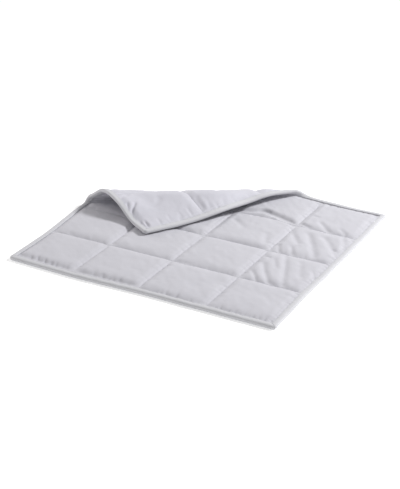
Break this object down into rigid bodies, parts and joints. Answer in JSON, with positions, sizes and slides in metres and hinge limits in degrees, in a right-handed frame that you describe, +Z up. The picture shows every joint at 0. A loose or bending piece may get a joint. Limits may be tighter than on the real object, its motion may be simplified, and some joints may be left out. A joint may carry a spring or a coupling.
{
  "type": "weighted blanket",
  "caption": "Quilted weighted lap blanket with a bound rim, lying flat with its back left corner folded over so that its underside shows.",
  "frame": {"origin": "middle of the blanket's box, on the table it lies on", "axes": "+X to the right along the front edge, +Y from the front edge to the back, +Z up"},
  "size_m": [0.634, 0.586, 0.0598],
  "materials": {
    "quilted_cloth": "soft brushed weave, matte, pale grey",
    "rim_cloth": "folded cloth binding, matte, pale grey"
  },
  "bodies": {
    "root": {"quilted_pad": "quilted_cloth", "binding_front": "rim_cloth", "binding_right": "rim_cloth", "binding_back": "rim_cloth", "binding_left": "rim_cloth"}
  },
  "joints": []
}
